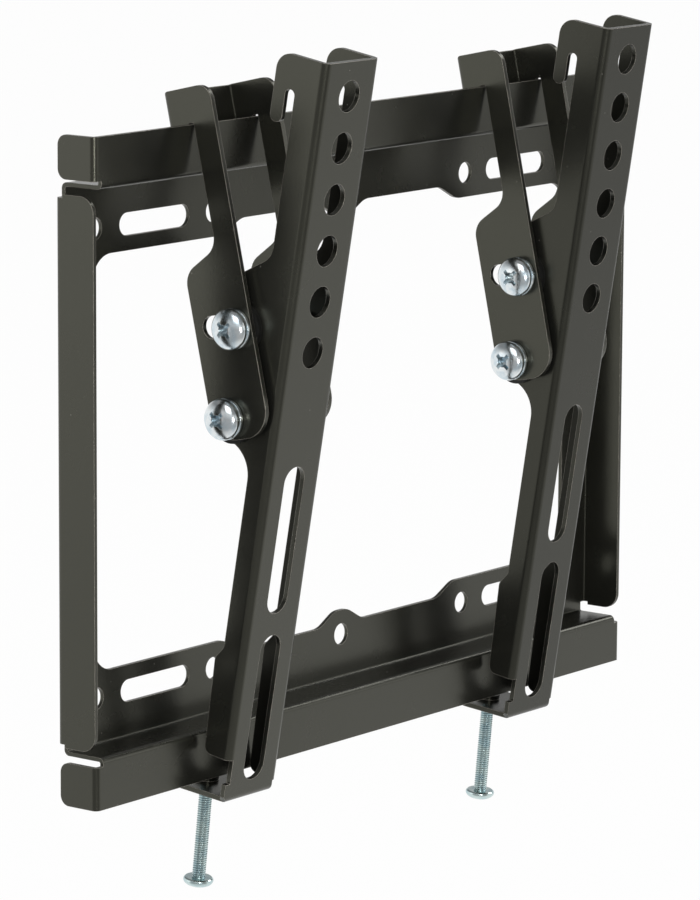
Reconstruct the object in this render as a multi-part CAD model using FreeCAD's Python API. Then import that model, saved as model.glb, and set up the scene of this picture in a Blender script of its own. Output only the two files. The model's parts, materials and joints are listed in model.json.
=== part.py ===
import FreeCAD, Part
import math
import os
from FreeCAD import Rotation, Vector

# Tilting television wall bracket.
# A folded frame is screwed to the wall. Two tilt brackets hook over its top rail,
# and an arm is bolted in each of them, so that the television leans forward.
# Millimetres. X runs along the wall, +Y points into the wall, +Z is up.
# The origin is the centre of the four wall slots, on the wall's face.

# Wall frame, one folded sheet
frame_width = 259.3
frame_height = 192.0
frame_sheet = 1.2
frame_bend = 0.5              # inside radius of its folds
rail_depth = 14.6             # wall to the front of the rails
rail_lip = 15.0               # height of each rail's front lip
rail_end_cut = 3.0            # how far the ledges stop short of the ends
tab_wall_gap = 1.1
tab_slit = 1.2                # between the end tabs and the ledge
tab_corner = 3.0
flange_depth = 14.1
flange_end = 16.8             # side flanges stop this far from the frame's ends
flange_corner = 5.0
fold_notch = 1.0              # relief at the ends of the side folds
band = 35.8                   # rail and web beside the fixings
band_narrow = 31.5            # the same between the fixings
band_step = 8.5               # length of the slope between the two
stile = 14.6                  # width of the upright webs
window_corner = 8.0
lug_half = 3.0                # flat of the lug round each centre hole
lug_slope = 7.5
lug_rise = 4.2

# Fixings in the frame
fixing_row = 28.2             # from the frame's edge
fixing_hole = 6.6
slot_from_centre = 87.8
slot_length = 31.0
hole_from_slot = 26.4         # round holes on both sides of each slot

# Where the arms hang on the rail, and how far their tilt brackets lean forward
left_arm_x = -71.6
right_arm_x = 68.0
left_lean = 13.0              # degrees, the lower end forward
right_lean = 12.25
foot_rest_gap = 0.35          # between the arm's foot and the lower rail's lip
foot_hang = 4.55              # how far the left arm reaches below the rail

# Tilt bracket, one folded sheet
arm_sheet = 1.5               # the arms and the tilt brackets
arm_bend = 0.7
hook_play = 0.4               # round the rail's lip
hook_open = 3.2               # how much wider the hook is at its mouth
hook_tongue_gap = 3.6         # under the hook's tongue, down to the rail's fold
bracket_head = 10.5           # above the lip
bracket_back = 8.9            # lip's middle to the back of the bracket
bracket_front = 8.8
bracket_head_corner = 4.5
bracket_tail_back = 11.9
bracket_tail_corner = 8.5
bracket_tail_top = 41.5
bracket_neck_end = 35.6
bracket_bulge_corner = 6.0
pivot_drop = 84.0
pivot_set_back = 5.8
bracket_tail_below = 6.5      # sheet below the pivot
slot_radius = 26.3            # from the pivot to the tilt slot
slot_sweep = 18.2             # degrees
tilt_slot_width = 6.6

# Arm, one folded sheet
arm_length = 220.4
arm_width = 24.3
arm_pivot_rear = 15.4         # web's front to the pivot
arm_slot_screw_angle = 3.9    # degrees, rearwards of the pivot
arm_wide_behind = 5.9         # sheet behind, below and above the two screws
arm_wide_below = 7.0
arm_wide_above = 14.3
arm_shoulder = 8.2
arm_slim = 7.6
arm_neck = 9.9
arm_wide_corner = 6.0
arm_wide_low_corner = 3.8
arm_scoop = 9.7
arm_foot = 10.3
arm_foot_low = 9.35           # the same at the flanges' lower end
arm_foot_high = 42.3
arm_foot_step = 3.8
arm_foot_corner = 2.5
left_flange_cut = 13.3        # where the side flanges end, above the foot plate
right_flange_cut = 3.3
ear_depth = 17.6
ear_corner = 5.0
ear_height = 20.1
ear_round_share = 0.48        # of the width of the ear's tip and slot, at their ends
ear_slot = 3.4
ear_slot_top = 9.9            # below the arm's top
screen_hole = 9.2
screen_hole_top = 10.1        # below the arm's top
screen_pitch = 15.0
screen_holes = 6
screen_span = 200.0           # top hole to the lowest place in the lower slot
screen_slot = 44.4            # end to end
screen_slot_bridge = 6.7

# Foot plate and lock screw
foot_wall_gap = 1.9           # between the foot plate and the wall
foot_drop = 3.7               # degrees off square
foot_corner = 3.8
foot_notch = 2.0              # relief under the left flange, down to the foot's edge
foot_edge = 6.0
foot_inset = 2.1              # the foot's side edges, inside the arm's width
lock_set_back = 0.14          # behind the middle of the rail's depth
lock_diameter = 4.0
lock_length = 35.0
lock_gap = 28.9               # head to foot plate
lock_head = 9.0
lock_head_height = 2.9
lock_head_rim = 0.6
lock_recess_width = 1.0
lock_recess_length = 4.6
lock_recess_depth = 1.5
lock_collar = 7.0
lock_collar_height = 1.4

# Fasteners at the pivot and in the tilt slot
screw_diameter = 6.0
screw_beyond_nut = 1.1
screw_head = 12.0
screw_head_height = 4.0
screw_head_rim = 0.8          # chamfer under the head's edge
recess_width = 1.3
recess_length = 6.6
recess_depth = 2.2
head_crown_share = 0.9        # of the height of a screw head's edge, rounded over
screw_point_share = 0.1       # of its diameter, the chamfer at a screw's end
washer_diameter = 12.0
washer_thickness = 1.2
spacer_diameter = 15.0
spacer_thickness = 1.5
nut_across = 10.0
nut_thickness = 5.0
nut_chamfer = 30.0            # degrees
screw_play = 0.1              # round a screw, in what it passes through
nut_play = 0.05
side_play = 0.1               # each side of a tilt bracket's plates

# Worked out from the sizes above
half_width = frame_width / 2
half_height = frame_height / 2
frame_fold = frame_bend + frame_sheet
arm_fold = arm_bend + arm_sheet
ledge_half = half_width - rail_end_cut
tab_height = rail_lip - frame_sheet - tab_slit
flange_half = half_height - flange_end
row_height = half_height - fixing_row
bracket_inner = arm_width / 2 + spacer_thickness + side_play
bracket_outer = bracket_inner + arm_sheet
bracket_bottom = pivot_drop + bracket_tail_below
hook_tongue = rail_lip - hook_tongue_gap
hook_point = Vector(0, -rail_depth + frame_sheet / 2, half_height)


def pivot_point(lean):
    """Where the arm's pivot is when its tilt bracket leans by so many degrees."""
    return hook_point + Rotation(Vector(1, 0, 0), -lean).multVec(Vector(0, pivot_set_back, -pivot_drop))


arm_pivot_up = pivot_point(left_lean).z + half_height + foot_hang
slot_screw_turn = math.radians(arm_slot_screw_angle)
arm_slot_screw_rear = arm_pivot_rear + slot_radius * math.sin(slot_screw_turn)
arm_slot_screw_up = arm_pivot_up + slot_radius * math.cos(slot_screw_turn)
arm_wide = arm_pivot_rear + arm_wide_behind
arm_wide_low = arm_pivot_up - arm_wide_below
arm_wide_high = arm_slot_screw_up + arm_wide_above
screen_top = arm_length - screen_hole_top
lower_slot_low = screen_top - screen_span - screen_hole / 2
upper_slot_low = lower_slot_low + screen_slot + screen_slot_bridge
ear_tip = arm_length - ear_height
ear_slot_end = arm_length - ear_slot_top
bolted_through = spacer_thickness + arm_sheet + 2 * side_play
screw_length = washer_thickness + bolted_through + arm_sheet + nut_thickness + screw_beyond_nut


def arm_lean(bracket_lean):
    """Degrees that an arm leans when the rounded end of its longer flange meets the lower rail's lip."""
    taper = math.atan2(arm_foot - arm_foot_low, arm_foot_high - right_flange_cut)
    level = arm_foot_low + arm_foot_corner * (math.tan(taper) - 1 / math.cos(taper)) - arm_pivot_rear
    drop = arm_pivot_up - right_flange_cut - arm_foot_corner
    reach = -rail_depth - foot_rest_gap - arm_foot_corner - pivot_point(bracket_lean).y
    return math.degrees(math.atan2(drop, level) - math.acos(reach / math.hypot(level, drop)))


# The foot plate, the lock screw and the tilt slot suit the left arm as it leans
full_lean = arm_lean(left_lean)
arm_low_end = Rotation(Vector(1, 0, 0), full_lean).multVec(Vector(0, -arm_pivot_rear, -arm_pivot_up))
arm_to_wall = -pivot_point(left_lean).y - arm_low_end.y
foot_slope = math.cos(math.radians(full_lean - foot_drop))
foot_length = (arm_to_wall - foot_wall_gap) / foot_slope
lock_place = (arm_to_wall - rail_depth / 2 + lock_set_back) / foot_slope
tilt_slot_front = left_lean + full_lean - arm_slot_screw_angle


def rounded_wire(corners, to_space):
    """A closed wire through corners given as (u, v) or (u, v, radius)."""
    count = len(corners)
    flat = [Vector(c[0], c[1], 0) for c in corners]
    radii = [c[2] if len(c) > 2 else 0.0 for c in corners]
    stops = []
    for i in range(count):
        before = (flat[i - 1] - flat[i]).normalize()
        after = (flat[(i + 1) % count] - flat[i]).normalize()
        if radii[i] == 0:
            stops.append((flat[i], None, flat[i]))
            continue
        half = before.getAngle(after) / 2
        reach = radii[i] / math.tan(half)
        inwards = (before + after).normalize()
        centre = flat[i] + inwards * (radii[i] / math.sin(half))
        stops.append((flat[i] + before * reach, centre - inwards * radii[i], flat[i] + after * reach))
    edges = []
    for i in range(count):
        start, middle, end = stops[i]
        if middle is not None:
            edges.append(Part.Arc(*[to_space(p.x, p.y) for p in (start, middle, end)]).toShape())
        following = stops[(i + 1) % count][0]
        onwards = flat[(i + 1) % count] - flat[i]
        if (following - end).dot(onwards) < -1e-6:
            raise ValueError("roundings meet on the way from " + str(flat[i]))
        if end.distanceToPoint(following) > 1e-6:
            ends = [to_space(p.x, p.y) for p in (end, following)]
            edges.append(Part.LineSegment(*ends).toShape())
    return Part.Wire(edges)


def side_prism(corners, x_low, x_high):
    """Corners are (y, z); the outline is seen from the side."""
    wire = rounded_wire(corners, lambda y, z: Vector(x_low, y, z))
    return Part.Face(wire).extrude(Vector(x_high - x_low, 0, 0))


def front_prism(corners, y_low, y_high):
    """Corners are (x, z); the outline is seen from the front."""
    wire = rounded_wire(corners, lambda x, z: Vector(x, y_low, z))
    return Part.Face(wire).extrude(Vector(0, y_high - y_low, 0))


def plan_prism(corners, z_low, z_high):
    """Corners are (x, y); the outline is seen from above."""
    wire = rounded_wire(corners, lambda x, y: Vector(x, y, z_low))
    return Part.Face(wire).extrude(Vector(0, 0, z_high - z_low))


def block(x_low, x_high, y_low, y_high, z_low, z_high):
    return Part.makeBox(x_high - x_low, y_high - y_low, z_high - z_low, Vector(x_low, y_low, z_low))


def front_slot(x, z, length, width, depth):
    """A slot through y = 0, with round ends; length runs along X, or along Z if width is longer."""
    x_half = length / 2
    z_half = width / 2
    r = min(x_half, z_half)
    corners = [(x - x_half, z - z_half, r), (x + x_half, z - z_half, r)]
    corners += [(x + x_half, z + z_half, r), (x - x_half, z + z_half, r)]
    return front_prism(corners, -depth, depth)


def front_hole(x, z, width, depth):
    return Part.makeCylinder(width / 2, 2 * depth, Vector(x, -depth, z), Vector(0, 1, 0))


def cross_cylinder(radius, y, z, x_low, x_high):
    return Part.makeCylinder(radius, x_high - x_low, Vector(x_low, y, z), Vector(1, 0, 0))


def mirrored(shape, normal):
    return shape.mirror(Vector(0, 0, 0), normal)


def rail():
    """The lower rail: lip, ledge and the start of the web, with the end tabs folded back."""
    section = [
        (-rail_depth, -half_height),
        (-rail_depth, -half_height + rail_lip, frame_fold),
        (-frame_sheet, -half_height + rail_lip, frame_bend),
        (-frame_sheet, -half_height + band),
        (0, -half_height + band),
        (0, -half_height + rail_lip - frame_sheet, frame_fold),
        (-rail_depth + frame_sheet, -half_height + rail_lip - frame_sheet, frame_bend),
        (-rail_depth + frame_sheet, -half_height),
    ]
    folded = side_prism(section, -ledge_half, ledge_half)
    tabs = plan_prism(
        [
            (-half_width, -tab_wall_gap),
            (-half_width, -rail_depth, frame_fold),
            (half_width, -rail_depth, frame_fold),
            (half_width, -tab_wall_gap),
            (half_width - frame_sheet, -tab_wall_gap),
            (half_width - frame_sheet, -rail_depth + frame_sheet, frame_bend),
            (-half_width + frame_sheet, -rail_depth + frame_sheet, frame_bend),
            (-half_width + frame_sheet, -tab_wall_gap),
        ],
        -half_height,
        -half_height + tab_height,
    )
    tab_side = [
        (-rail_depth, -half_height),
        (-tab_wall_gap, -half_height, tab_corner),
        (-tab_wall_gap, -half_height + tab_height, tab_corner),
        (-rail_depth, -half_height + tab_height),
    ]
    return folded.fuse(tabs.common(side_prism(tab_side, -half_width, half_width)))


def stiles():
    """The web between the rails, with the side flanges folded forwards."""
    folded = plan_prism(
        [
            (-half_width, -flange_depth),
            (-half_width, 0, frame_fold),
            (half_width, 0, frame_fold),
            (half_width, -flange_depth),
            (half_width - frame_sheet, -flange_depth),
            (half_width - frame_sheet, -frame_sheet, frame_bend),
            (-half_width + frame_sheet, -frame_sheet, frame_bend),
            (-half_width + frame_sheet, -flange_depth),
        ],
        -flange_half,
        flange_half,
    )
    flange_side = [
        (0, -flange_half),
        (0, flange_half),
        (-flange_depth, flange_half, flange_corner),
        (-flange_depth, -flange_half, flange_corner),
    ]
    shape = folded.common(side_prism(flange_side, -half_width, half_width))
    notch = block(ledge_half, half_width, -frame_fold - fold_notch, 0, flange_half - fold_notch, flange_half)
    for notch_x in (notch, mirrored(notch, Vector(1, 0, 0))):
        shape = shape.cut(notch_x).cut(mirrored(notch_x, Vector(0, 0, 1)))
    return shape


def window_edge(side):
    """The window's lower (-1) or upper (1) edge from left to right, with a lug at the centre hole."""
    wide = side * (half_height - band)
    narrow = side * (half_height - band_narrow)
    row_x = slot_from_centre - hole_from_slot
    step_out = row_x - fixing_hole / 2 - frame_sheet
    step_in = step_out - band_step
    half = [
        (-half_width + stile, wide, window_corner),
        (-step_out, wide, window_corner),
        (-step_in, narrow, window_corner),
        (-lug_half - lug_slope, narrow, window_corner),
        (-lug_half, narrow - side * lug_rise, window_corner),
    ]
    return half + [(-x, z, r) for x, z, r in reversed(half)]


def wall_frame():
    lower = rail()
    shape = lower.fuse([mirrored(lower, Vector(0, 0, 1)), stiles()])
    window = window_edge(-1) + list(reversed(window_edge(1)))
    cuts = [front_prism(window, -2 * frame_sheet, frame_sheet)]
    for z in (-row_height, row_height):
        for x in (-slot_from_centre, slot_from_centre):
            cuts.append(front_slot(x, z, slot_length, fixing_hole, 2 * frame_sheet))
            for hole_x in (x - hole_from_slot, x + hole_from_slot):
                cuts.append(front_hole(hole_x, z, fixing_hole, 2 * frame_sheet))
        cuts.append(front_hole(0, z, fixing_hole, 2 * frame_sheet))
    return shape.cut(cuts).removeSplitter()


def tilt_slot():
    """The curved slot round the pivot, as a cut along X through both plates."""
    y = pivot_set_back
    z = -pivot_drop
    front = math.radians(tilt_slot_front)
    back = math.radians(tilt_slot_front - slot_sweep)
    middle = (front + back) / 2
    r = tilt_slot_width / 2

    def at(radius, angle, beyond=0.0):
        along = radius * math.sin(angle) + beyond * math.cos(angle)
        up = radius * math.cos(angle) - beyond * math.sin(angle)
        return Vector(-bracket_outer, y - along, z + up)

    outer = Part.Arc(at(slot_radius + r, back), at(slot_radius + r, middle), at(slot_radius + r, front))
    inner = Part.Arc(at(slot_radius - r, front), at(slot_radius - r, middle), at(slot_radius - r, back))
    front_end = Part.Arc(at(slot_radius + r, front), at(slot_radius, front, r), at(slot_radius - r, front))
    back_end = Part.Arc(at(slot_radius - r, back), at(slot_radius, back, -r), at(slot_radius + r, back))
    wire = Part.Wire([a.toShape() for a in (outer, front_end, inner, back_end)])
    return Part.Face(wire).extrude(Vector(2 * bracket_outer, 0, 0))


def tilt_bracket():
    """Upright, with the rail lip's top middle at the origin; forwards is -Y."""
    hook = frame_sheet / 2 + hook_play
    side = [
        (bracket_back, bracket_head, bracket_head_corner / 2),
        (-bracket_front, bracket_head, bracket_head_corner),
        (-bracket_front, -bracket_bottom, bracket_tail_corner),
        (bracket_tail_back, -bracket_bottom, bracket_tail_corner),
        (bracket_tail_back, -bracket_tail_top, bracket_bulge_corner),
        (-hook, -bracket_neck_end, bracket_bulge_corner),
        (-hook, hook_play, hook_play),
        (hook, hook_play, hook_play),
        (hook + hook_open, -hook_tongue, frame_sheet),
        (bracket_back, -hook_tongue, arm_sheet),
    ]
    outline = side_prism(side, -bracket_outer, bracket_outer)
    folded = plan_prism(
        [
            (-bracket_outer, 0),
            (-bracket_outer, bracket_back, arm_fold),
            (bracket_outer, bracket_back, arm_fold),
            (bracket_outer, 0),
            (bracket_inner, 0),
            (bracket_inner, bracket_back - arm_sheet, arm_bend),
            (-bracket_inner, bracket_back - arm_sheet, arm_bend),
            (-bracket_inner, 0),
        ],
        -hook_tongue,
        bracket_head,
    )
    fold_zone = block(-bracket_outer, bracket_outer, 0, bracket_back, -hook_tongue, bracket_head)
    inside = block(
        -bracket_inner, bracket_inner, -bracket_front, bracket_tail_back, -bracket_bottom, bracket_head
    )
    plates = outline.cut(inside).cut(fold_zone)
    shape = plates.fuse(folded.common(outline))
    hole = cross_cylinder(
        screw_diameter / 2 + screw_play, pivot_set_back, -pivot_drop, -bracket_outer, bracket_outer
    )
    return shape.cut([hole, tilt_slot()]).removeSplitter()


def arm_screw_places():
    """Pivot and tilt slot screw in the arm's side view, as (y, z)."""
    return {"pivot": (arm_pivot_rear, arm_pivot_up), "slot": (arm_slot_screw_rear, arm_slot_screw_up)}


def foot():
    """The web's lower end, folded back into the foot plate that reaches under the rail."""
    lean = math.radians(foot_drop)
    along = Vector(0, math.cos(lean), -math.sin(lean))
    up = Vector(0, math.sin(lean), math.cos(lean))
    end_low = along * foot_length
    end_high = end_low + up * arm_sheet
    inner = up * arm_sheet + along * (arm_sheet * (1 - math.sin(lean)) / math.cos(lean))
    section = [
        (0, left_flange_cut),
        (0, 0, arm_fold),
        (end_low.y, end_low.z),
        (end_high.y, end_high.z),
        (arm_sheet, inner.z, arm_bend),
        (arm_sheet, left_flange_cut),
    ]
    half = arm_width / 2
    inset = half - foot_inset
    front = [
        (0, left_flange_cut),
        (-half + foot_notch, left_flange_cut),
        (-half + foot_notch, foot_edge),
        (-half, foot_edge),
        (-half, foot_inset),
        (-inset, 0),
        (-inset, -arm_fold),
        (inset, -arm_fold),
        (inset, right_flange_cut),
        (0, right_flange_cut),
    ]
    plan = [
        (-half, 0),
        (inset, 0),
        (inset, foot_length, foot_corner),
        (-inset, foot_length, foot_corner),
        (-inset, arm_fold),
        (-half, arm_fold),
    ]
    shape = side_prism(section, -half, half)
    shape = shape.common(front_prism(front, 0, foot_length + arm_sheet))
    shape = shape.common(plan_prism(plan, -arm_fold, left_flange_cut))
    place = along * lock_place
    half_sheet = arm_sheet / 2
    collar = Part.makeCylinder(lock_collar / 2, half_sheet + lock_collar_height, place + up * half_sheet, up)
    hole = Part.makeCylinder(lock_diameter / 2 + screw_play, 4 * arm_sheet, place - up * arm_sheet, up)
    return shape.fuse(collar).cut(hole)


def arm_side(low, x_low, x_high):
    """The arm's outline seen from the side, for a flange that ends at the height low."""
    slot_round = ear_round_share * ear_slot
    tip_round = ear_round_share * (ear_depth - arm_neck - ear_slot)
    corners = [
        (0, low),
        (arm_foot_low, low, arm_foot_corner),
        (arm_foot, arm_foot_high, arm_foot_corner),
        (arm_slim, arm_foot_high + arm_foot_step, arm_foot_corner),
        (arm_slim, arm_wide_low, arm_scoop),
        (arm_wide, arm_wide_low, arm_wide_low_corner),
        (arm_wide, arm_wide_high, arm_wide_corner),
        (arm_neck, arm_wide_high + arm_shoulder, arm_wide_corner),
        (arm_neck, ear_slot_end, slot_round),
        (arm_neck + ear_slot, ear_slot_end, slot_round),
        (arm_neck + ear_slot, ear_tip, tip_round),
        (ear_depth, ear_tip, tip_round),
        (ear_depth, arm_length, ear_corner),
        (0, arm_length),
    ]
    return side_prism(corners, x_low, x_high)


def arm():
    """Upright, with the web's front face on y = 0 and its lower end at z = 0."""
    half = arm_width / 2
    folded = plan_prism(
        [
            (-half, arm_wide),
            (-half, 0, arm_fold),
            (half, 0, arm_fold),
            (half, arm_wide),
            (half - arm_sheet, arm_wide),
            (half - arm_sheet, arm_sheet, arm_bend),
            (-half + arm_sheet, arm_sheet, arm_bend),
            (-half + arm_sheet, arm_wide),
        ],
        0,
        arm_length,
    )
    left = folded.common(arm_side(left_flange_cut, -half, 0))
    right = folded.common(arm_side(right_flange_cut, 0, half))
    shape = left.fuse([right, foot()])
    cuts = []
    for i in range(screen_holes):
        cuts.append(front_hole(0, screen_top - i * screen_pitch, screen_hole, 2 * arm_sheet))
    for low in (lower_slot_low, upper_slot_low):
        cuts.append(front_slot(0, low + screen_slot / 2, screen_hole, screen_slot, 2 * arm_sheet))
    for y, z in arm_screw_places().values():
        cuts.append(cross_cylinder(screw_diameter / 2 + screw_play, y, z, -half, half))
    return shape.cut(cuts).removeSplitter()


def pan_head_screw(diameter, length, head, head_height, rim, recess):
    """Head upwards on Z, with its seat on z = 0 and a cross recess."""
    point = diameter * screw_point_share
    profile = [
        (0, -length),
        (diameter / 2 - point, -length),
        (diameter / 2, -length + point),
        (diameter / 2, 0),
        (head / 2 - rim, 0),
        (head / 2, rim),
        (head / 2, head_height, head_crown_share * (head_height - rim)),
        (0, head_height),
    ]
    wire = rounded_wire(profile, lambda radius, along: Vector(radius, 0, along))
    solid = Part.Face(wire).revolve(Vector(0, 0, 0), Vector(0, 0, 1), 360)
    width, reach, depth = recess
    for a, b in ((reach, width), (width, reach)):
        solid = solid.cut(block(-a / 2, a / 2, -b / 2, b / 2, head_height - depth, head_height))
    return solid


def ring(outer, inner, thickness):
    """A washer on z = 0."""
    hole = Part.makeCylinder(inner / 2, thickness)
    return Part.makeCylinder(outer / 2, thickness).cut(hole)


def hex_nut():
    """On z = 0, with its chamfered corners upwards."""
    corner = nut_across / math.sqrt(3)
    angles = [math.radians(60 * i) for i in range(6)]
    points = [(corner * math.cos(a), corner * math.sin(a)) for a in angles]
    body = plan_prism(points, 0, nut_thickness)
    low = nut_across / 2
    trim = Part.makeCone(low + nut_thickness / math.tan(math.radians(nut_chamfer)), low, nut_thickness)
    bore = Part.makeCylinder(screw_diameter / 2 + nut_play, nut_thickness)
    return body.common(trim).cut(bore)


def fastener_set():
    """The pieces on one screw, along Z from the arm's side face, outwards being +Z."""
    head_seat = bolted_through + washer_thickness
    recess = (recess_width, recess_length, recess_depth)
    inner = screw_diameter + 2 * screw_play
    screw = pan_head_screw(
        screw_diameter, screw_length, screw_head, screw_head_height, screw_head_rim, recess
    )
    washer = ring(washer_diameter, inner, washer_thickness)
    nut = mirrored(hex_nut(), Vector(0, 0, 1))
    return {
        "screw": screw.translated(Vector(0, 0, head_seat)),
        "washer": washer.translated(Vector(0, 0, bolted_through)),
        "spacer": ring(spacer_diameter, inner, spacer_thickness),
        "nut": nut.translated(Vector(0, 0, -arm_sheet)),
    }


def lock_screw():
    """In the arm's upright frame, hanging from the foot plate."""
    lean = math.radians(foot_drop)
    recess = (lock_recess_width, lock_recess_length, lock_recess_depth)
    solid = pan_head_screw(lock_diameter, lock_length, lock_head, lock_head_height, lock_head_rim, recess)
    solid.rotate(Vector(0, 0, 0), Vector(1, 0, 0), 180)
    solid.translate(Vector(0, 0, -lock_gap))
    solid.rotate(Vector(0, 0, 0), Vector(1, 0, 0), -foot_drop)
    solid.translate(Vector(0, lock_place * math.cos(lean), -lock_place * math.sin(lean)))
    return solid


def hung(shape, x, lean):
    """Moves an upright tilt bracket to the rail and leans it."""
    moved = shape.copy()
    moved.rotate(Vector(0, 0, 0), Vector(1, 0, 0), -lean)
    moved.translate(hook_point + Vector(x, 0, 0))
    return moved


def bolted(shape, x, lean):
    """Moves an upright arm, or what is on it, to its tilt bracket's pivot and leans it."""
    moved = shape.copy()
    moved.translate(Vector(0, -arm_pivot_rear, -arm_pivot_up))
    moved.rotate(Vector(0, 0, 0), Vector(1, 0, 0), arm_lean(lean))
    moved.translate(pivot_point(lean) + Vector(x, 0, 0))
    return moved


def side_fasteners(x, lean):
    """Both screws' sets on the outer and inner side of one arm, by name."""
    pieces = {}
    outwards = 1 if x > 0 else -1
    for side, face in (("outer", outwards), ("inner", -outwards)):
        for spot, (y, z) in arm_screw_places().items():
            for name, shape in fastener_set().items():
                placed = shape.copy()
                placed.rotate(Vector(0, 0, 0), Vector(0, 1, 0), 90 * face)
                placed.translate(Vector(face * arm_width / 2, y, z))
                pieces[side + "_" + spot + "_" + name] = bolted(placed, x, lean)
    return pieces


def write(name, shape):
    solids = shape.Solids
    if len(solids) != 1 or not shape.isValid():
        raise ValueError(name + " is not one sound solid")
    solids[0].exportStep("parts/" + name + ".step")


os.makedirs("parts", exist_ok=True)
write("wall_frame", wall_frame())
for hand, arm_x, lean in (("left", left_arm_x, left_lean), ("right", right_arm_x, right_lean)):
    write(hand + "_tilt_bracket", hung(tilt_bracket(), arm_x, lean))
    write(hand + "_arm", bolted(arm(), arm_x, lean))
    write(hand + "_lock_screw", bolted(lock_screw(), arm_x, lean))
    for part_name, part_shape in side_fasteners(arm_x, lean).items():
        write(hand + "_" + part_name, part_shape)
    print(hand, "arm leans forward by", round(arm_lean(lean), 2), "degrees")
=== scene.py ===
"""Finish, fasteners and stage for a tilting wall bracket of folded sheet."""

import json
import math

import bmesh
import bpy
from bpy.props import FloatProperty, FloatVectorProperty, IntProperty, PointerProperty
from mathutils import Matrix, Vector


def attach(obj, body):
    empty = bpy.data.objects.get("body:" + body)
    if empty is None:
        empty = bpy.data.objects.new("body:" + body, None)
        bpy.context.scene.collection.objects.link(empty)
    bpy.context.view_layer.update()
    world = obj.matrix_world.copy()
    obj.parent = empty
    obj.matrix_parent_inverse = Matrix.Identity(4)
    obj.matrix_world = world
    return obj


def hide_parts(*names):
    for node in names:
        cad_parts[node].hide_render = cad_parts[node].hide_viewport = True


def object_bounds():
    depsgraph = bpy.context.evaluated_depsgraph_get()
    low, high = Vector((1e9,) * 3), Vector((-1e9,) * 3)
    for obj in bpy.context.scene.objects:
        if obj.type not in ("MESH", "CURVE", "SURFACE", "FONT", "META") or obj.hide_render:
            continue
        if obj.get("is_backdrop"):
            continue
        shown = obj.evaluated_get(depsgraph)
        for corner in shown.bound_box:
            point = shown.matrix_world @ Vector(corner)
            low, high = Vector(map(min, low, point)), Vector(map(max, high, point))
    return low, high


bl_info = {
    "name": "Tilting wall bracket",
    "version": (1, 0, 0),
    "blender": (4, 5, 0),
    "location": "View3D > Sidebar > Wall bracket",
    "description": "Powder coat, zinc fasteners and a white stage for a tilting wall bracket",
    "category": "Object",
}

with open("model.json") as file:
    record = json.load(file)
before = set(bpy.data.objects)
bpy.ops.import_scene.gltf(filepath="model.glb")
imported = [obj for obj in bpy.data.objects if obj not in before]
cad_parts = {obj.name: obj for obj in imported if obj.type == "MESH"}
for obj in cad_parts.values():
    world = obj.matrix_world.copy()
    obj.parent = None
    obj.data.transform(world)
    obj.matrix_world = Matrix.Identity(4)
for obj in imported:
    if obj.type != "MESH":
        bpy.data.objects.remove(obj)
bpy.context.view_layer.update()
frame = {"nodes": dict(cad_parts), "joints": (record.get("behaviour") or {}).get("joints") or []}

HANDS = ("left", "right")
SIDES = ("outer", "inner")
SPOTS = ("pivot", "slot")

# Points of a new mesh that are closer than this are one point, in metres
MERGE = 1e-6

# The attribute that tells how deep in a thread's groove a point lies
GROOVE = "groove"

# Level directions in the room, and how squarely a place lies that way where its reflection starts to dim
# and where it is dimmest
CAMERA_SIDE = (-0.79, -0.61, 0)
CAMERA_RAMP = (0.32, 0.62)
RIGHT_SIDE = (0.79, -0.61, 0)
RIGHT_RAMP = (0.20, 0.80)

# Where a mask of the finishes is 0 and where it is 1: round a speck, in speck spacings, and along an edge's
# painted highlight, as 1 less the cosine between the rounded and the flat normal
SPECK_RIM = (0.012, 0.030)
HIGHLIGHT_TURN = (0.05, 0.22)

# Inside an arm's channel, in metres from its middle and below its top
CHANNEL_WALL = (0.006, 0.009)
CHANNEL_DEPTH = (0.008, 0.014)

# In the noise of the zinc's patches, and down a thread's groove for its painted shade
ZINC_PATCH = (0.40, 0.66)
ZINC_GROOVE = (0.25, 0.85)

# Each lamp's name, place and width in metres, and power in watts. All of them face the bracket.
LAMPS = (
    ("soft_left", (-1.6, -0.6, 1.5), 1.4, 14.0),
    ("soft_right", (1.2, -1.8, 0.9), 1.2, 5.0),
    ("fold_light", (1.7, -0.45, 1.25), 0.7, 6.0),
    ("soft_back", (-1.5, 1.1, 0.0), 1.0, 0.9),
    ("edge_light", (-0.85, -1.05, 0.05), 0.3, 3.5),
)


def stacks():
    """Each hand, side and spot that holds one bolt with its washer, spacer and nut."""
    for hand in HANDS:
        for side in SIDES:
            for spot in SPOTS:
                yield hand, f"{hand}_{side}_{spot}_"


def outward_of(hand, stack):
    """The direction in which a stack's screw head points."""
    way = 1 if (hand == "left") == ("inner" in stack) else -1
    return (way, 0, 0)


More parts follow.
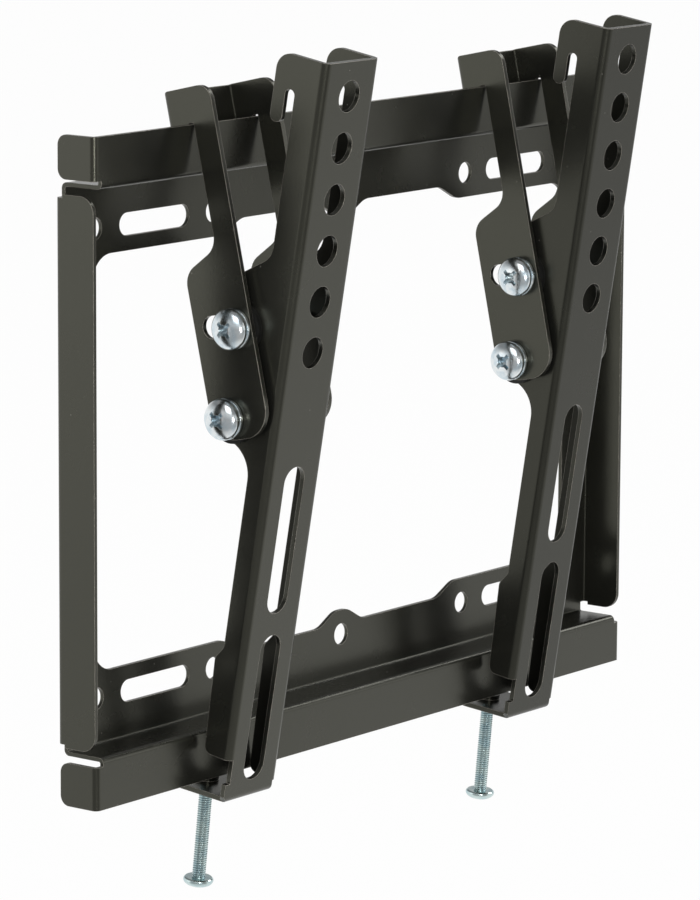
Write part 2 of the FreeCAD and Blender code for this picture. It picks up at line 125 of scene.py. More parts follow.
class CoatLook(bpy.types.PropertyGroup):
    """The powder coat on the folded sheets."""

    colour: FloatVectorProperty(
        name="Colour", description="Colour of the powder coat", subtype="COLOR", size=3,
        default=(0.0096, 0.0096, 0.0082), min=0, max=1,
    )
    roughness: FloatProperty(
        name="Roughness", description="How dull the coat is", default=0.26, min=0, max=1, subtype="FACTOR",
    )
    mottle: FloatProperty(
        name="Mottle", description="How much the dullness wanders over the coat", default=0.10, min=0, max=1,
    )
    gloss: FloatProperty(
        name="Refraction", description="Refractive index of the coat, for its gloss", default=1.62, min=1,
    )
    # Pale colour of a painted highlight along the sheet's edges, standing in for light caught by their
    # rounding
    edge_highlight: FloatVectorProperty(
        name="Edge colour", description="Pale colour of the coat where its edges are rubbed", subtype="COLOR",
        size=3, default=(0.50, 0.46, 0.41), min=0, max=1,
    )
    # How strongly the painted edge highlight pales the coat
    highlight_strength: FloatProperty(
        name="Rubbing", description="How far the rubbed edges take their pale colour", default=0.70,
        min=0, max=1, subtype="FACTOR",
    )
    sheen: FloatVectorProperty(
        name="Gloss colour", description="Warm colour of the coat's reflections", subtype="COLOR", size=3,
        default=(1.0, 1.0, 0.80), min=0, max=1,
    )
    right_gloss: FloatProperty(
        name="Right arm refraction", description="Refractive index of the right arm's slightly duller coat",
        default=1.49, min=1,
    )
    # Painted shade: a lower refractive index that dims the coat's reflections deep inside the arms' channels
    inside: FloatProperty(
        name="Inside refraction", description="Refractive index of the thin coat inside the arms",
        default=1.28, min=1,
    )
    grain: FloatProperty(
        name="Grain size", description="Width of the orange peel in the coat", default=0.0009,
        min=0.0001, unit="LENGTH",
    )
    relief: FloatProperty(
        name="Grain height", description="Height of the orange peel", default=0.000022, min=0, unit="LENGTH",
    )
    edge: FloatProperty(
        name="Edge round", description="Radius that the coat gives to the sheet's edges", default=0.00034,
        min=0, unit="LENGTH",
    )
    speck: FloatProperty(
        name="Speck spacing", description="Distance between the pale specks in the coat", default=0.0075,
        min=0.001, unit="LENGTH",
    )
    speck_colour: FloatVectorProperty(
        name="Speck colour", description="Pale colour of the specks", subtype="COLOR", size=3,
        default=(0.16, 0.155, 0.14), min=0, max=1,
    )


class ZincLook(bpy.types.PropertyGroup):
    """The zinc plate on the fasteners."""

    colour: FloatVectorProperty(
        name="Colour", description="Colour of the zinc", subtype="COLOR", size=3,
        default=(0.78, 0.82, 0.83), min=0, max=1,
    )
    bloom: FloatVectorProperty(
        name="Bloom", description="Cooler tint in patches of the zinc", subtype="COLOR", size=3,
        default=(0.60, 0.70, 0.76), min=0, max=1,
    )
    roughness: FloatProperty(
        name="Roughness", description="How dull the zinc is", default=0.22, min=0, max=1, subtype="FACTOR",
    )
    lock_tint: FloatVectorProperty(
        name="Lock screw tint", description="What the zinc's colours are multiplied by on the lock screws",
        subtype="COLOR", size=3, default=(0.76, 0.86, 0.84), min=0, max=1,
    )
    mottle: FloatProperty(
        name="Mottle", description="How much duller the tinted patches are", default=0.10, min=0, max=1,
    )
    # Painted shade down the thread's grooves: how dark it is, and its colour
    shade: FloatProperty(
        name="Grime", description="How dark the thread's grooves are", default=0.42, min=0, max=1,
        subtype="FACTOR",
    )
    shade_colour: FloatVectorProperty(
        name="Grime colour", description="Colour of the grime in the grooves", subtype="COLOR", size=3,
        default=(0.10, 0.12, 0.12), min=0, max=1,
    )
    patch: FloatProperty(
        name="Patch size", description="Width of the tinted patches", default=0.003, min=0.0001,
        unit="LENGTH",
    )
    relief: FloatProperty(
        name="Grain height", description="Height of the fine grain in the zinc", default=0.000006, min=0,
        unit="LENGTH",
    )
    edge: FloatProperty(
        name="Edge round", description="Radius of the fasteners' edges", default=0.00012, min=0,
        unit="LENGTH",
    )


class SpacerLook(bpy.types.PropertyGroup):
    """The matt black of the moulded spacer discs."""

    dark: FloatVectorProperty(
        name="Darkest", description="Darkest colour of the grain", subtype="COLOR", size=3,
        default=(0.006, 0.006, 0.006), min=0, max=1,
    )
    pale: FloatVectorProperty(
        name="Palest", description="Palest colour of the grain", subtype="COLOR", size=3,
        default=(0.012, 0.012, 0.011), min=0, max=1,
    )
    roughness: FloatProperty(
        name="Roughness", description="How dull the discs are", default=0.42, min=0, max=1, subtype="FACTOR",
    )
    gloss: FloatProperty(
        name="Refraction", description="Refractive index of the discs, for their gloss", default=1.35, min=1,
    )
    grain: FloatProperty(
        name="Grain size", description="Width of the moulded grain", default=0.0006, min=0.0001,
        unit="LENGTH",
    )
    relief: FloatProperty(
        name="Grain height", description="Height of the moulded grain", default=0.00001, min=0,
        unit="LENGTH",
    )


def thread_shape(name, words, **sizes):
    """A property group for the thread and the driving recess of one size of screw."""
    labels = {
        "radius": ("Radius", "Radius over the thread"),
        "pitch": ("Pitch", "Thread pitch"),
        "depth": ("Depth", "Depth of the thread"),
        "rim": ("Rim height", "Height of the head's widest edge over its seat"),
        "recess": ("Recess width", "Cross recess from tip to tip"),
        "wing": ("Wing width", "Width of the recess's wings at the top"),
        "sink": ("Recess depth", "Depth of the recess"),
    }
    made = {
        key: FloatProperty(name=label, description=text, default=sizes[key], min=0, unit="LENGTH")
        for key, (label, text) in labels.items()
    }
    made["turns"] = IntProperty(name="Steps", description="Steps in one turn of thread", default=24, min=8)
    return type(name, (bpy.types.PropertyGroup,), {"__doc__": words, "__annotations__": made})


BoltShape = thread_shape(
    "BoltShape", "Thread and recess of the pivot and slot screws",
    radius=0.0030, pitch=0.0010, depth=0.00058, rim=0.0011, recess=0.0068, wing=0.0014, sink=0.0026,
)
LockShape = thread_shape(
    "LockShape", "Thread and recess of the lock screws",
    radius=0.0020, pitch=0.0007, depth=0.00028, rim=0.0008, recess=0.0046, wing=0.0010, sink=0.0018,
)


class StageLook(bpy.types.PropertyGroup):
    """Camera, lights and floor."""

    eye: FloatVectorProperty(
        name="Camera place", description="Where the camera stands", size=3, subtype="TRANSLATION",
        default=(-1.1661, -0.9069, 0.2494), unit="LENGTH",
    )
    azimuth: FloatProperty(
        name="Azimuth", description="Turn of the camera round the bracket", default=math.radians(-52.259),
        subtype="ANGLE", unit="ROTATION",
    )
    elevation: FloatProperty(
        name="Elevation", description="Tilt of the camera below the horizon", default=math.radians(10.0),
        subtype="ANGLE", unit="ROTATION",
    )
    roll: FloatProperty(
        name="Roll", description="Roll of the camera", default=math.radians(0.308), subtype="ANGLE",
        unit="ROTATION",
    )
    lens: FloatProperty(name="Focal length", description="Focal length in millimetres", default=198.36)
    world: FloatProperty(name="Room light", description="Brightness of the white room", default=0.62, min=0)
    dark: FloatProperty(
        name="Camera side", description="How dark the camera's side is in reflections", default=0.60,
        min=0, max=1,
    )
    above: FloatProperty(
        name="Overhead", description="How dark the room overhead is in reflections", default=0.75,
        min=0, max=1,
    )
    fade: FloatProperty(
        name="Right side", description="How dark the far right is in reflections", default=0.45, min=0, max=1,
    )
    drop: FloatProperty(
        name="Floor drop", description="Floor below the lowest screw", default=0.16, min=0, unit="LENGTH",
    )
    reach: FloatProperty(
        name="Floor reach", description="From the middle of the floor to its sides", default=6.0, min=1,
        unit="LENGTH",
    )
    pale: FloatVectorProperty(
        name="Floor colour", description="Colour of the floor under its shadows", subtype="COLOR", size=3,
        default=(0.86, 0.86, 0.86), min=0, max=1,
    )
    glow: FloatProperty(
        name="Floor glow", description="How much of the floor's white is its own, and not the lamps'",
        default=0.96, min=0, max=1, subtype="FACTOR",
    )


class Value:
    """A socket that takes part in sums."""

    def __init__(self, finish, socket):
        self.finish = finish
        self.socket = socket

    def math(self, operation, first, second):
        return self.finish.node("Math", {"operation": operation}, {0: first, 1: second})

    def __add__(self, other):
        return self.math("ADD", self, other)

    def __radd__(self, other):
        return self.math("ADD", other, self)

    def __sub__(self, other):
        return self.math("SUBTRACT", self, other)

    def __rsub__(self, other):
        return self.math("SUBTRACT", other, self)

    def __mul__(self, other):
        return self.math("MULTIPLY", self, other)

    def __rmul__(self, other):
        return self.math("MULTIPLY", other, self)

    def clamped(self):
        """The value kept between 0 and 1."""
        return self.math("MINIMUM", self.math("MAXIMUM", self, 0.0), 1.0)


class Finish:
    """A node tree whose maths is written as expressions."""

    def __init__(self, owner):
        owner.use_nodes = True
        self.tree = owner.node_tree
        self.tree.nodes.clear()

    def node(self, kind, settings=None, inputs=None, output=0):
        """Adds a node with its settings and inputs, and gives one of its outputs if it has any."""
        made = self.tree.nodes.new("ShaderNode" + kind)
        for name, setting in (settings or {}).items():
            setattr(made, name, setting)
        for key, given in (inputs or {}).items():
            if isinstance(given, Value):
                self.tree.links.new(given.socket, made.inputs[key])
            else:
                made.inputs[key].default_value = given
        return Value(self, made.outputs[output]) if made.outputs else None

    def place(self):
        """Where a point lies on the piece, in metres."""
        return self.node("TexCoord", output="Object")

    def part_of(self, vector, axis):
        """One of a vector's parts, X, Y or Z."""
        return self.node("SeparateXYZ", None, {0: vector}, output=axis)

    def noise(self, size, detail=2.0, rough=0.5):
        """Soft patches of one size, in metres, from 0 to 1."""
        return self.node(
            "TexNoise", None,
            {"Vector": self.place(), "Scale": 1 / size, "Detail": detail, "Roughness": rough},
        )

    def ramp(self, value, low, high):
        """0 below low, 1 above high."""
        return self.node(
            "MapRange", {"clamp": True}, {"Value": value, "From Min": low, "From Max": high},
        )

    def mix(self, factor, first, second):
        """The first colour or link where the factor is 0, and the second colour where it is 1."""
        under = first if isinstance(first, Value) else (*first, 1)
        return self.node("Mix", {"data_type": "RGBA"}, {0: factor, 6: under, 7: (*second, 1)}, output=2)

    def surface(self, shader):
        """Ends a material's tree with its shader."""
        self.node("OutputMaterial", None, {"Surface": shader})


def new_material(name):
    """An empty material and its node tree."""
    material = bpy.data.materials.new(name)
    return material, Finish(material)


def coat_material(look, name, gloss, channel=None):
    """Satin powder coat: orange peel, rounded edges, rubbed pale along them, and a few pale specks.

    An arm's coat is thin and dull inside its channel, whose middle and top are given.
    """
    patch, cloud = 14 * look.grain, 60 * look.grain
    vary, uneven = 0.20, 1.2
    darker, paler = ([share * part for part in look.colour] for share in (1 - vary, 1 + vary))
    material, f = new_material(name)
    wander = f.noise(patch, 3.0)
    clouds = f.noise(cloud)
    peel = f.noise(look.grain, rough=0.6)
    base = f.mix(wander, darker, paler)
    rounded = f.node("Bevel", {"samples": 6}, {"Radius": look.edge})
    flat = f.node("NewGeometry", output="Normal")
    turn = 1 - f.node("VectorMath", {"operation": "DOT_PRODUCT"}, {0: rounded, 1: flat}, output="Value")
    # Painted highlight: the coat's colour is paled, unevenly, along its rounded edges
    highlighted = f.ramp(turn, *HIGHLIGHT_TURN) * (look.highlight_strength + uneven * (wander - 0.5))
    edge_highlight = f.mix(highlighted.clamped(), base, look.edge_highlight)
    cells = {"Vector": f.place(), "Scale": 1 / look.speck}
    near = f.node("TexVoronoi", {"feature": "F1"}, cells, output="Distance")
    colour = f.mix(1 - f.ramp(near, *SPECK_RIM), edge_highlight, look.speck_colour)
    bump = f.node(
        "Bump", None, {"Strength": 0.8, "Distance": look.relief, "Height": peel, "Normal": rounded},
    )
    roughness = look.roughness + look.mottle * (wander - 0.5) + 0.5 * look.mottle * (clouds - 0.5)
    paint = {
        "Base Color": colour, "Roughness": roughness, "IOR": gloss,
        "Specular Tint": (*look.sheen, 1), "Normal": bump,
    }
    coat = f.node("BsdfPrincipled", None, paint)
    # Painted shade inside the arm's channel: its reflections are dimmed where the coat lies in shade
    if channel:
        middle, top = channel
        inwards = (middle - f.part_of(f.place(), "X")) * f.part_of(flat, "X")
        deep = f.ramp(top - f.part_of(f.place(), "Z"), *CHANNEL_DEPTH)
        shaded = f.node("BsdfPrincipled", None, {**paint, "IOR": look.inside})
        coat = f.node("MixShader", None, {0: deep * f.ramp(inwards, *CHANNEL_WALL), 1: coat, 2: shaded})
    f.surface(coat)
    return material


def zinc_material(look, name="zinc_plate_finish", tint=(1, 1, 1)):
    """Bright zinc plate with faint cooler patches, its colours times a tint, made once for each name."""
    if name in bpy.data.materials:
        return bpy.data.materials[name]
    material, f = new_material(name)
    plain, bloom = ([a * b for a, b in zip(colour, tint)] for colour in (look.colour, look.bloom))
    patches = f.ramp(f.noise(look.patch, 3.0), *ZINC_PATCH)
    fine = f.noise(look.patch / 8)
    groove = f.ramp(f.node("Attribute", {"attribute_name": GROOVE}, output="Fac"), *ZINC_GROOVE)
    # Painted shade: the zinc darkens towards the root of the thread's grooves
    plate = f.mix(look.shade * groove, f.mix(patches, plain, bloom), look.shade_colour)
    rounded = f.node("Bevel", {"samples": 4}, {"Radius": look.edge})
    bump = f.node(
        "Bump", None, {"Strength": 0.5, "Distance": look.relief, "Height": fine, "Normal": rounded},
    )
    roughness = look.roughness + look.mottle * (patches - 0.5) + 0.6 * look.mottle * (fine - 0.5)
    finish = {"Base Color": plate, "Metallic": 1.0, "Roughness": roughness, "Normal": bump}
    f.surface(f.node("BsdfPrincipled", None, finish))
    return material


def spacer_material(look):
    """Matt black moulded disc."""
    material, f = new_material("spacer_black")
    grain = f.noise(look.grain)
    bump = f.node("Bump", None, {"Strength": 0.5, "Distance": look.relief, "Height": grain})
    finish = {
        "Base Color": f.mix(grain, look.dark, look.pale), "Roughness": look.roughness + 0.1 * (grain - 0.5),
        "IOR": look.gloss, "Normal": bump,
    }
    f.surface(f.node("BsdfPrincipled", None, finish))
    return material


def dress(obj, material):
    """Gives a piece one material."""
    obj.data.materials.clear()
    obj.data.materials.append(material)


def axis_frame(node, outward):
    """The middle line of a round node: a matrix with Z outwards from its low end, and its length."""
    z = Vector(outward).normalized()
    lies_across = abs(z.x) > 0.5
    x = z.orthogonal().normalized() if lies_across else Vector((1, 0, 0))
    y = z.cross(x)
    points = [v.co for v in frame["nodes"][node].data.vertices]
    middle = Vector((0, 0, 0))
    for side in (x, y):
        along = [p.dot(side) for p in points]
        middle += side * (min(along) + max(along)) / 2
    heights = [p.dot(z) for p in points]
    matrix = Matrix((x, y, z)).transposed().to_4x4()
    matrix.translation = middle + z * min(heights)
    return matrix, max(heights) - min(heights)


def widest(node, outward):
    """The node's largest radius round its middle line."""
    matrix, _ = axis_frame(node, outward)
    back = matrix.inverted()
    return max((back @ v.co).xy.length for v in frame["nodes"][node].data.vertices)


def ring_of(bm, outline, steps):
    """Spins (radius, height) points once round Z."""
    verts = [bm.verts.new((r, 0, z)) for r, z in outline]
    edges = [bm.edges.new(pair) for pair in zip(verts, verts[1:])]
    bmesh.ops.spin(
        bm, geom=verts + edges, cent=(0, 0, 0), axis=(0, 0, 1), dvec=(0, 0, 0), angle=math.tau,
        steps=steps, use_merge=True, use_duplicate=False,
    )


def finished(bm, name, matrix, material, body, node):
    """Places a fastener's mesh, makes its object and gives it its body, slot and the node it stands for."""
    sharp = math.radians(32)
    bmesh.ops.remove_doubles(bm, verts=bm.verts, dist=MERGE)
    bmesh.ops.recalc_face_normals(bm, faces=bm.faces)
    bmesh.ops.transform(bm, matrix=matrix, verts=bm.verts)
    mesh = bpy.data.meshes.new(name)
    bm.to_mesh(mesh)
    bm.free()
    mesh.shade_smooth()
    mesh.set_sharp_from_angle(angle=sharp)
    obj = bpy.data.objects.new(name, mesh)
    bpy.context.collection.objects.link(obj)
    dress(obj, material)
    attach(obj, body)
    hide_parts(node)


def helix(bm, low, high, shape):
    """A screw's thread between two heights, with a short lead at the low end."""
    groove_end, crest_start, crest_end = 0.16, 0.42, 0.74
    lead, narrowing = 1.2 * shape.pitch, 0.28
    crest = shape.radius
    root = crest - shape.depth
    start = low - 2 * shape.pitch
    corners = ((root, 0), (root, groove_end), (crest, crest_start), (crest, crest_end), (root, 1))
    outline = [(r, share * shape.pitch) for r, share in corners]
    made = bmesh.new()
    verts = [made.verts.new((r, 0, start + z)) for r, z in outline]
    edges = [made.edges.new(pair) for pair in zip(verts, verts[1:])]
    rounds = math.ceil((high - start) / shape.pitch) + 1
    bmesh.ops.spin(
        made, geom=verts + edges, cent=(0, 0, 0), axis=(0, 0, 1), dvec=(0, 0, shape.pitch / shape.turns),
        angle=math.tau * rounds, steps=rounds * shape.turns, use_merge=False, use_duplicate=False,
    )
    bmesh.ops.remove_doubles(made, verts=made.verts, dist=MERGE)
    for height, side in ((low, -1), (high, 1)):
        geom = made.verts[:] + made.edges[:] + made.faces[:]
        cut = bmesh.ops.bisect_plane(
            made, geom=geom, dist=0.1 * MERGE, plane_co=(0, 0, height), plane_no=(0, 0, side),
            clear_outer=True,
        )
        rim = [e for e in cut["geom_cut"] if isinstance(e, bmesh.types.BMEdge)]
        bmesh.ops.contextual_create(made, geom=rim)
    for v in made.verts:
        if v.co.z < low + lead:
            v.co.xy *= 1 - narrowing * (1 - (v.co.z - low) / lead)
    held = bpy.data.meshes.new("thread")
    made.to_mesh(held)
    made.free()
    bm.from_mesh(held)
    bpy.data.meshes.remove(held)


def mark_groove(bm, high, shape):
    """Writes how deep in the thread each point below the head lies, 0 on the crest and 1 at the root."""
    layer = bm.verts.layers.float.new(GROOVE)
    for v in bm.verts:
        if v.co.z < high - 10 * MERGE:
            v[layer] = min(1.0, max(0.0, (shape.radius - v.co.xy.length) / shape.depth))


def tapered_wing(bm, length, width, depth, top, turn):
    """One blade of the cutter for a cross recess, narrower at the bottom and standing out at the top."""
    foot_share, rise = 0.5, 0.3 * depth
    made = bmesh.ops.create_cone(
        bm, cap_ends=True, segments=4, radius1=foot_share / math.sqrt(2), radius2=1 / math.sqrt(2),
        depth=1.0,
    )
    matrix = (
        Matrix.Rotation(turn, 4, "Z")
        @ Matrix.Translation((0, 0, top + rise / 2 - depth / 2))
        @ Matrix.Diagonal((length, width, depth + rise, 1))
        @ Matrix.Rotation(math.radians(45), 4, "Z")
    )
    bmesh.ops.transform(bm, matrix=matrix, verts=made["verts"])


def cut_away(bm, cutter):
    """The mesh less the cutter's, by an exact boolean."""
    pieces = []
    for name, source in (("body", bm), ("cutter", cutter)):
        bmesh.ops.recalc_face_normals(source, faces=source.faces)
        mesh = bpy.data.meshes.new(name)
        source.to_mesh(mesh)
        obj = bpy.data.objects.new(name, mesh)
        bpy.context.collection.objects.link(obj)
        pieces.append(obj)
    body, knife = pieces
    modifier = body.modifiers.new("cut", "BOOLEAN")
    modifier.operation = "DIFFERENCE"
    modifier.solver = "EXACT"
    modifier.use_self = True
    modifier.object = knife
    bpy.context.view_layer.update()
    result = bpy.data.meshes.new_from_object(body.evaluated_get(bpy.context.evaluated_depsgraph_get()))
    bm.clear()
    bm.from_mesh(result)
    cutter.free()
    for mesh in (result, *(piece.data for piece in pieces)):
        bpy.data.meshes.remove(mesh)


def pan_head(bm, radius, seat, top, shape):
    """A domed head between two heights with a cross recess."""
    seat_share, under_share, under_height = 0.88, 0.97, 0.4 * shape.rim
    steps, fullness = 12, 0.86
    widest_at = seat + shape.rim
    outline = [(0, seat), (radius * seat_share, seat), (radius * under_share, seat + under_height)]
    for i in range(steps):
        turn = math.pi / 2 * i / steps
        height = widest_at + (top - widest_at) * math.sin(turn)
        outline.append((radius * math.cos(turn) ** fullness, height))
    outline.append((0, top))
    ring_of(bm, outline, 96)
    cutter = bmesh.new()
    for turn in (0, math.pi / 2):
        tapered_wing(cutter, shape.recess, shape.wing, shape.sink, top, turn)
    hub_foot, hub_top = 0.12 * shape.recess, 0.27 * shape.recess
    hub_length, hub_middle = 1.4 * shape.sink, top - 0.45 * shape.sink
    hub = bmesh.ops.create_cone(
        cutter, cap_ends=True, segments=24, radius1=hub_foot, radius2=hub_top, depth=hub_length,
    )
    bmesh.ops.translate(cutter, vec=(0, 0, hub_middle), verts=hub["verts"])
    cut_away(bm, cutter)


def threaded_screw(seat, top, radius, shape):
    """A pan head screw that stands on its tip at z = 0, with the head's seat, top and radius given."""
    bm = bmesh.new()
    pan_head(bm, radius, seat, top, shape)
    helix(bm, 0, seat, shape)
    mark_groove(bm, seat, shape)
    return bm


class BRACKET_OT_coat(bpy.types.Operator):
    """Powder coat the wall frame, the tilt brackets and the arms"""

    bl_idname = "wall_bracket.coat"
    bl_label = "Coat the sheets"

    def execute(self, context):
        look = context.scene.bracket_coat
        plain = coat_material(look, "powder_coat", look.gloss)
        dress(frame["nodes"]["wall_frame"], plain)
        for hand, gloss in (("left", look.gloss), ("right", look.right_gloss)):
            dress(frame["nodes"][f"{hand}_tilt_bracket"], plain)
            arm = frame["nodes"][f"{hand}_arm"]
            across, _, heights = zip(*(v.co for v in arm.data.vertices))
            channel = (min(across) + max(across)) / 2, max(heights)
            dress(arm, coat_material(look, f"powder_coat_{hand}_arm", gloss, channel))
        return {"FINISHED"}


class BRACKET_OT_bolts(bpy.types.Operator):
    """Make the pivot and slot screws with thread and cross recess"""

    bl_idname = "wall_bracket.bolts"
    bl_label = "Fit the screws"

    def execute(self, context):
        scene = context.scene
        shape = scene.bracket_bolt
        material = zinc_material(scene.bracket_zinc)
        for hand, stack in stacks():
            name = stack + "screw"
            outward = outward_of(hand, stack)
            matrix, length = axis_frame(name, outward)
            washer, thick = axis_frame(stack + "washer", outward)
            seat = (matrix.inverted() @ (washer @ Vector((0, 0, thick)))).z
            bm = threaded_screw(seat, length, widest(name, outward), shape)
            finished(bm, stack + "bolt", matrix, material, f"{hand}_arm", name)
        return {"FINISHED"}


class BRACKET_OT_washers(bpy.types.Operator):
    """Make the washers with their stamped, rounded rims"""

    bl_idname = "wall_bracket.washers"
    bl_label = "Fit the washers"

    def execute(self, context):
        scene = context.scene
        material = zinc_material(scene.bracket_zinc)
        bore = scene.bracket_bolt.radius + scene.bracket_washer_gap
        for hand, stack in stacks():
            name = stack + "washer"
            outward = outward_of(hand, stack)
            matrix, thick = axis_frame(name, outward)
            radius = widest(name, outward)
            edge = 0.35 * thick
            chamfer, cut = edge / 2, 0.3 * edge
            outline = [
                (bore, chamfer), (bore + chamfer, 0), (radius - chamfer, 0), (radius, chamfer),
                (radius, thick - edge), (radius - cut, thick - cut), (radius - edge, thick),
                (bore + chamfer, thick), (bore, thick - chamfer), (bore, chamfer),
            ]
            bm = bmesh.new()
            ring_of(bm, outline, 72)
            finished(bm, stack + "plate_washer", matrix, material, f"{hand}_arm", name)
        return {"FINISHED"}


class BRACKET_OT_nuts(bpy.types.Operator):
    """Give the nuts their zinc"""

    bl_idname = "wall_bracket.nuts"
    bl_label = "Plate the nuts"

    def execute(self, context):
        material = zinc_material(context.scene.bracket_zinc)
        for hand, stack in stacks():
            dress(frame["nodes"][stack + "nut"], material)
        return {"FINISHED"}


class BRACKET_OT_spacers(bpy.types.Operator):
    """Give the spacers between arms and tilt brackets their matt black"""

    bl_idname = "wall_bracket.spacers"
    bl_label = "Finish the spacers"

    def execute(self, context):
        material = spacer_material(context.scene.bracket_spacer)
        for hand, stack in stacks():
            dress(frame["nodes"][stack + "spacer"], material)
        return {"FINISHED"}


class BRACKET_OT_lock_screws(bpy.types.Operator):
    """Make the long lock screws under the arms with their fine thread"""

    bl_idname = "wall_bracket.lock_screws"
    bl_label = "Fit the lock screws"

    def execute(self, context):
        scene = context.scene
        shape = scene.bracket_lock
        look = scene.bracket_zinc
        material = zinc_material(look, "zinc_blue_finish", look.lock_tint)
        for hand in HANDS:
            name = hand + "_lock_screw"
            joint = next(j for j in frame["joints"] if j["name"] == hand + "_lock_slide")
            outward = -Vector(joint["axis"])
            matrix, length = axis_frame(name, outward)
            seat = length - scene.bracket_lock_head
            bm = threaded_screw(seat, length, widest(name, outward), shape)
            finished(bm, hand + "_long_screw", matrix, material, name, name)
        return {"FINISHED"}


class BRACKET_OT_stage(bpy.types.Operator):
    """Set the floor, the room, the lamps and the camera"""

    bl_idname = "wall_bracket.stage"
    bl_label = "Set the stage"

    def execute(self, context):
        look = context.scene.bracket_stage
        low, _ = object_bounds()
        add_floor(look, low.z)
        add_room(context.scene, look)
        add_lamps()
        add_camera(context.scene, look)
        context.scene.view_settings.view_transform = "Standard"
        return {"FINISHED"}


def seen_directly(f):
    """1 for what the camera sees directly, in a reflection or through glass."""
    total = None
    for ray in ("Is Camera Ray", "Is Glossy Ray", "Is Transmission Ray"):
        part = f.node("LightPath", output=ray)
        total = part if total is None else total + part
    return total.clamped()


def toward(f, place, direction):
    """How far a place lies in a level direction: 1 straight that way, 0 to its side."""
    level = f.node("VectorMath", {"operation": "MULTIPLY"}, {0: place, 1: (1, 1, 0)})
    level = f.node("VectorMath", {"operation": "NORMALIZE"}, {0: level})
    return f.node("VectorMath", {"operation": "DOT_PRODUCT"}, {0: level, 1: direction}, output="Value")


def add_floor(look, low):
    """A white floor. Shiny surfaces see it dark on the camera's side and fading on the right."""
    bm = bmesh.new()
    bmesh.ops.create_grid(bm, x_segments=1, y_segments=1, size=look.reach)
    bmesh.ops.translate(bm, vec=(0, 0, low - look.drop), verts=bm.verts)
    mesh = bpy.data.meshes.new("floor")
    bm.to_mesh(mesh)
    bm.free()
    floor = bpy.data.objects.new("floor", mesh)
    bpy.context.collection.objects.link(floor)
    material, f = new_material("pale_floor")
    place = f.place()
    away = f.node("VectorMath", {"operation": "LENGTH"}, {0: place}, output="Value")
    near, far = (0.25, 0.60), (0.4, 3.0)
    dark = look.dark * f.ramp(toward(f, place, CAMERA_SIDE), *CAMERA_RAMP) * f.ramp(away, *near)
    fade = look.fade * f.ramp(toward(f, place, RIGHT_SIDE), *RIGHT_RAMP) * f.ramp(away, *far)
    shown = 1 - (dark + fade).clamped() * f.node("LightPath", output="Is Glossy Ray")
    pale = f.node("BsdfDiffuse", None, {"Color": (*look.pale, 1)})
    white = f.node("Emission", None, {"Color": (1, 1, 1, 1), "Strength": shown})
    f.surface(f.node("MixShader", None, {0: look.glow * seen_directly(f), 1: pale, 2: white}))
    dress(floor, material)
    floor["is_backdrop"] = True


def add_room(scene, look):
    """A white room. Shiny surfaces see it dim overhead and near the horizon on the camera's side."""
    world = bpy.data.worlds.new("room")
    scene.world = world
    f = Finish(world)
    place = f.node("TexCoord", output="Generated")
    height = f.part_of(place, "Z")
    horizon, overhead = (0.02, 0.30), (0.10, 0.50)
    dark = look.dark * f.ramp(toward(f, place, CAMERA_SIDE), *CAMERA_RAMP) * (1 - f.ramp(height, *horizon))
    above = look.above * f.ramp(height, *overhead)
    level = look.world + (1 - look.world) * seen_directly(f)
    level = level - (dark + above) * f.node("LightPath", output="Is Glossy Ray")
    white = f.node("Background", None, {"Color": (1, 1, 1, 1), "Strength": level})
    f.node("OutputWorld", None, {"Surface": white})


def add_lamps():
    """Soft lamps left, right and behind, one high on the right for the folds, one for the edges."""
    for name, place, width, power in LAMPS:
        data = bpy.data.lights.new(name, "AREA")
        data.shape = "SQUARE"
        data.size = width
        data.energy = power
        lamp = bpy.data.objects.new(name, data)
        bpy.context.collection.objects.link(lamp)
        lamp.location = place
        lamp.rotation_euler = (-Vector(place)).to_track_quat("-Z", "Y").to_euler()


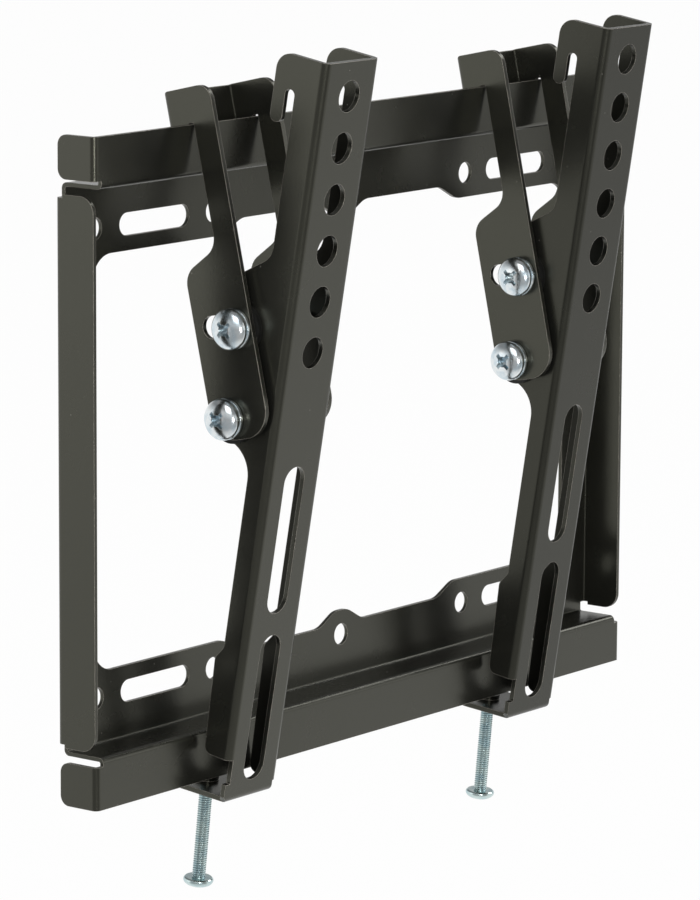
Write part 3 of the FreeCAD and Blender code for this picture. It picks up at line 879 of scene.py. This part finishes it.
def add_camera(scene, look):
    """The camera that stands where the photo was taken."""
    data = bpy.data.cameras.new("camera")
    data.lens = look.lens
    data.clip_start = 0.05
    data.clip_end = 40
    camera = bpy.data.objects.new("camera", data)
    bpy.context.collection.objects.link(camera)
    camera.matrix_world = (
        Matrix.Translation(look.eye)
        @ Matrix.Rotation(look.azimuth, 4, "Z")
        @ Matrix.Rotation(math.pi / 2 - look.elevation, 4, "X")
        @ Matrix.Rotation(look.roll, 4, "Z")
    )
    scene.camera = camera


class BRACKET_PT_panel(bpy.types.Panel):
    """The bracket's finish, piece by piece"""

    bl_label = "Wall bracket"
    bl_idname = "BRACKET_PT_panel"
    bl_space_type = "VIEW_3D"
    bl_region_type = "UI"
    bl_category = "Wall bracket"

    def draw(self, context):
        for operator in OPERATORS:
            self.layout.operator(operator.bl_idname)
        for name in LOOKS:
            look = getattr(context.scene, name)
            box = self.layout.box()
            box.label(text=look.bl_rna.name)
            for prop in look.bl_rna.properties:
                if prop.identifier not in ("rna_type", "name"):
                    box.prop(look, prop.identifier)


LOOKS = {
    "bracket_coat": CoatLook,
    "bracket_zinc": ZincLook,
    "bracket_spacer": SpacerLook,
    "bracket_bolt": BoltShape,
    "bracket_lock": LockShape,
    "bracket_stage": StageLook,
}
OPERATORS = (
    BRACKET_OT_coat,
    BRACKET_OT_bolts,
    BRACKET_OT_washers,
    BRACKET_OT_nuts,
    BRACKET_OT_spacers,
    BRACKET_OT_lock_screws,
    BRACKET_OT_stage,
)
CLASSES = (*LOOKS.values(), *OPERATORS, BRACKET_PT_panel)
LENGTHS = {
    "bracket_washer_gap": ("Washer gap", "Gap between a screw and its washer's bore", 0.0001),
    "bracket_lock_head": ("Lock screw head", "Height of the lock screws' heads", 0.0029),
}


def register():
    for cls in CLASSES:
        bpy.utils.register_class(cls)
    for name, look in LOOKS.items():
        setattr(bpy.types.Scene, name, PointerProperty(type=look))
    for name, (label, words, size) in LENGTHS.items():
        made = FloatProperty(name=label, description=words, default=size, unit="LENGTH")
        setattr(bpy.types.Scene, name, made)


def unregister():
    for name in (*LENGTHS, *LOOKS):
        delattr(bpy.types.Scene, name)
    for cls in reversed(CLASSES):
        bpy.utils.unregister_class(cls)


def main():
    register()
    for operator in OPERATORS:
        group, name = operator.bl_idname.split(".")
        getattr(getattr(bpy.ops, group), name)()


if __name__ == "__main__":
    main()
